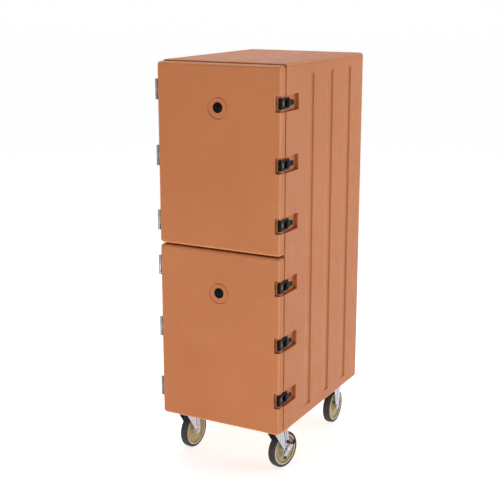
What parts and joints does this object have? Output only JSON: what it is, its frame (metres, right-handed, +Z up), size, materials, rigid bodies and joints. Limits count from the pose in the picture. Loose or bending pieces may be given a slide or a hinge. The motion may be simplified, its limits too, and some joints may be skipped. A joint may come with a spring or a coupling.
{
  "type": "insulated food carrier",
  "caption": "Tall insulated moulded cart with an upper and a lower compartment, overlay doors with over-centre latches and vents, and swivelling and fixed casters.",
  "frame": {"origin": "on the floor, under the middle of the whole object's box", "axes": "+Z up, -Y is the doors' side, -X is the hinges' side, +X is the latches' side"},
  "size_m": [0.5626, 0.788, 1.66],
  "materials": {
    "moulded": "rotomoulded polyethylene with a fine pebbled texture, slightly scuffed",
    "foam": "closed-cell foam inside the skins",
    "seal": "soft black seal",
    "tyre": "smooth grey-black rubber tread",
    "nylon": "satin black glass-filled nylon",
    "stainless": "satin stainless steel",
    "zinc": "bright zinc-plated pressed steel",
    "wheel_core": "moulded khaki plastic"
  },
  "bodies": {
    "cabinet": {"cabinet_shell": "moulded", "cabinet_foam": "foam", "upper_hinge_1_cabinet_leaf": "stainless", "upper_hinge_2_cabinet_leaf": "stainless", "upper_hinge_3_cabinet_leaf": "stainless", "upper_latch_1_base": "nylon", "upper_latch_2_base": "nylon", "upper_latch_3_base": "nylon", "lower_hinge_1_cabinet_leaf": "stainless", "lower_hinge_2_cabinet_leaf": "stainless", "lower_hinge_3_cabinet_leaf": "stainless", "lower_latch_1_base": "nylon", "lower_latch_2_base": "nylon", "lower_latch_3_base": "nylon", "front_left_top_plate": "zinc", "front_right_top_plate": "zinc", "rear_left_bracket": "zinc", "rear_left_axle": "zinc", "rear_right_bracket": "zinc", "rear_right_axle": "zinc"},
    "upper_door": {"upper_door_shell": "moulded", "upper_door_foam": "foam", "upper_door_gasket": "seal", "upper_hinge_1_door_leaf": "stainless", "upper_hinge_2_door_leaf": "stainless", "upper_hinge_3_door_leaf": "stainless"},
    "upper_vent": {"upper_vent_cap": "nylon"},
    "upper_latch_1_lever": {"upper_latch_1_lever": "nylon"},
    "upper_latch_1_loop": {"upper_latch_1_loop": "nylon"},
    "upper_latch_2_lever": {"upper_latch_2_lever": "nylon"},
    "upper_latch_2_loop": {"upper_latch_2_loop": "nylon"},
    "upper_latch_3_lever": {"upper_latch_3_lever": "nylon"},
    "upper_latch_3_loop": {"upper_latch_3_loop": "nylon"},
    "lower_door": {"lower_door_shell": "moulded", "lower_door_foam": "foam", "lower_door_gasket": "seal", "lower_hinge_1_door_leaf": "stainless", "lower_hinge_2_door_leaf": "stainless", "lower_hinge_3_door_leaf": "stainless"},
    "lower_vent": {"lower_vent_cap": "nylon"},
    "lower_latch_1_lever": {"lower_latch_1_lever": "nylon"},
    "lower_latch_1_loop": {"lower_latch_1_loop": "nylon"},
    "lower_latch_2_lever": {"lower_latch_2_lever": "nylon"},
    "lower_latch_2_loop": {"lower_latch_2_loop": "nylon"},
    "lower_latch_3_lever": {"lower_latch_3_lever": "nylon"},
    "lower_latch_3_loop": {"lower_latch_3_loop": "nylon"},
    "front_left_swivel": {"front_left_fork": "zinc", "front_left_axle": "zinc"},
    "front_left_wheel": {"front_left_tyre": "tyre", "front_left_wheel_core": "wheel_core"},
    "front_right_swivel": {"front_right_fork": "zinc", "front_right_axle": "zinc"},
    "front_right_wheel": {"front_right_tyre": "tyre", "front_right_wheel_core": "wheel_core"},
    "front_right_brake": {"front_right_brake_lever": "zinc"},
    "rear_left_wheel": {"rear_left_tyre": "tyre", "rear_left_wheel_core": "wheel_core"},
    "rear_right_wheel": {"rear_right_tyre": "tyre", "rear_right_wheel_core": "wheel_core"}
  },
  "joints": [
    {"name": "upper_door_hinge", "type": "hinge", "parent": "cabinet", "child": "upper_door", "pos_m": [-0.27515, -0.376, 1.29425], "axis": [0, 0, -1], "range_deg": [0, 180]},
    {"name": "upper_vent_turn", "type": "hinge", "parent": "upper_door", "child": "upper_vent", "pos_m": [0.00685, -0.388, 1.4875], "axis": [0, 1, 0], "range_deg": [0, 90]},
    {"name": "upper_latch_1_lever_pivot", "type": "hinge", "parent": "cabinet", "child": "upper_latch_1_lever", "pos_m": [0.27435, -0.331, 1.514], "axis": [0, 0, -1], "range_deg": [0, 150]},
    {"name": "upper_latch_1_loop_pivot", "type": "hinge", "parent": "upper_latch_1_lever", "child": "upper_latch_1_loop", "pos_m": [0.27315, -0.319, 1.514], "axis": [0, 0, -1], "range_deg": [-180, 0]},
    {"name": "upper_latch_2_lever_pivot", "type": "hinge", "parent": "cabinet", "child": "upper_latch_2_lever", "pos_m": [0.27435, -0.331, 1.282], "axis": [0, 0, -1], "range_deg": [0, 150]},
    {"name": "upper_latch_2_loop_pivot", "type": "hinge", "parent": "upper_latch_2_lever", "child": "upper_latch_2_loop", "pos_m": [0.27315, -0.319, 1.282], "axis": [0, 0, -1], "range_deg": [-180, 0]},
    {"name": "upper_latch_3_lever_pivot", "type": "hinge", "parent": "cabinet", "child": "upper_latch_3_lever", "pos_m": [0.27435, -0.331, 1.049], "axis": [0, 0, -1], "range_deg": [0, 150]},
    {"name": "upper_latch_3_loop_pivot", "type": "hinge", "parent": "upper_latch_3_lever", "child": "upper_latch_3_loop", "pos_m": [0.27315, -0.319, 1.049], "axis": [0, 0, -1], "range_deg": [-180, 0]},
    {"name": "lower_door_hinge", "type": "hinge", "parent": "cabinet", "child": "lower_door", "pos_m": [-0.27515, -0.376, 0.55675], "axis": [0, 0, -1], "range_deg": [0, 180]},
    {"name": "lower_vent_turn", "type": "hinge", "parent": "lower_door", "child": "lower_vent", "pos_m": [0.00685, -0.388, 0.75], "axis": [0, 1, 0], "range_deg": [0, 90]},
    {"name": "lower_latch_1_lever_pivot", "type": "hinge", "parent": "cabinet", "child": "lower_latch_1_lever", "pos_m": [0.27435, -0.331, 0.337], "axis": [0, 0, -1], "range_deg": [0, 150]},
    {"name": "lower_latch_1_loop_pivot", "type": "hinge", "parent": "lower_latch_1_lever", "child": "lower_latch_1_loop", "pos_m": [0.27315, -0.319, 0.337], "axis": [0, 0, -1], "range_deg": [-180, 0]},
    {"name": "lower_latch_2_lever_pivot", "type": "hinge", "parent": "cabinet", "child": "lower_latch_2_lever", "pos_m": [0.27435, -0.331, 0.569], "axis": [0, 0, -1], "range_deg": [0, 150]},
    {"name": "lower_latch_2_loop_pivot", "type": "hinge", "parent": "lower_latch_2_lever", "child": "lower_latch_2_loop", "pos_m": [0.27315, -0.319, 0.569], "axis": [0, 0, -1], "range_deg": [-180, 0]},
    {"name": "lower_latch_3_lever_pivot", "type": "hinge", "parent": "cabinet", "child": "lower_latch_3_lever", "pos_m": [0.27435, -0.331, 0.802], "axis": [0, 0, -1], "range_deg": [0, 150]},
    {"name": "lower_latch_3_loop_pivot", "type": "hinge", "parent": "lower_latch_3_lever", "child": "lower_latch_3_loop", "pos_m": [0.27315, -0.319, 0.802], "axis": [0, 0, -1], "range_deg": [-180, 0]},
    {"name": "front_left_swivel_turn", "type": "hinge", "parent": "cabinet", "child": "front_left_swivel", "pos_m": [-0.20515, -0.291, 0.17], "axis": [0, 0, 1], "continuous": true},
    {"name": "front_left_wheel_spin", "type": "hinge", "parent": "front_left_swivel", "child": "front_left_wheel", "pos_m": [-0.20184, -0.25315, 0.076], "axis": [0.9962, -0.0872, 0], "continuous": true},
    {"name": "front_right_swivel_turn", "type": "hinge", "parent": "cabinet", "child": "front_right_swivel", "pos_m": [0.21885, -0.291, 0.17], "axis": [0, 0, 1], "continuous": true},
    {"name": "front_right_wheel_spin", "type": "hinge", "parent": "front_right_swivel", "child": "front_right_wheel", "pos_m": [0.22804, -0.25413, 0.076], "axis": [0.9703, -0.2419, 0], "continuous": true},
    {"name": "front_right_brake_press", "type": "hinge", "parent": "front_right_swivel", "child": "front_right_brake", "pos_m": [0.22804, -0.25413, 0.076], "axis": [-0.9703, 0.2419, 0], "range_deg": [0, 18]},
    {"name": "rear_left_wheel_spin", "type": "hinge", "parent": "cabinet", "child": "rear_left_wheel", "pos_m": [-0.20515, 0.276, 0.076], "axis": [1, 0, 0], "continuous": true},
    {"name": "rear_right_wheel_spin", "type": "hinge", "parent": "cabinet", "child": "rear_right_wheel", "pos_m": [0.21885, 0.276, 0.076], "axis": [1, 0, 0], "continuous": true}
  ],
  "couplings": [
    {"joint": "upper_latch_1_loop_pivot", "follows": "upper_latch_1_lever_pivot", "ratio": -1.2},
    {"joint": "upper_latch_2_loop_pivot", "follows": "upper_latch_2_lever_pivot", "ratio": -1.2},
    {"joint": "upper_latch_3_loop_pivot", "follows": "upper_latch_3_lever_pivot", "ratio": -1.2},
    {"joint": "lower_latch_1_loop_pivot", "follows": "lower_latch_1_lever_pivot", "ratio": -1.2},
    {"joint": "lower_latch_2_loop_pivot", "follows": "lower_latch_2_lever_pivot", "ratio": -1.2},
    {"joint": "lower_latch_3_loop_pivot", "follows": "lower_latch_3_lever_pivot", "ratio": -1.2}
  ]
}
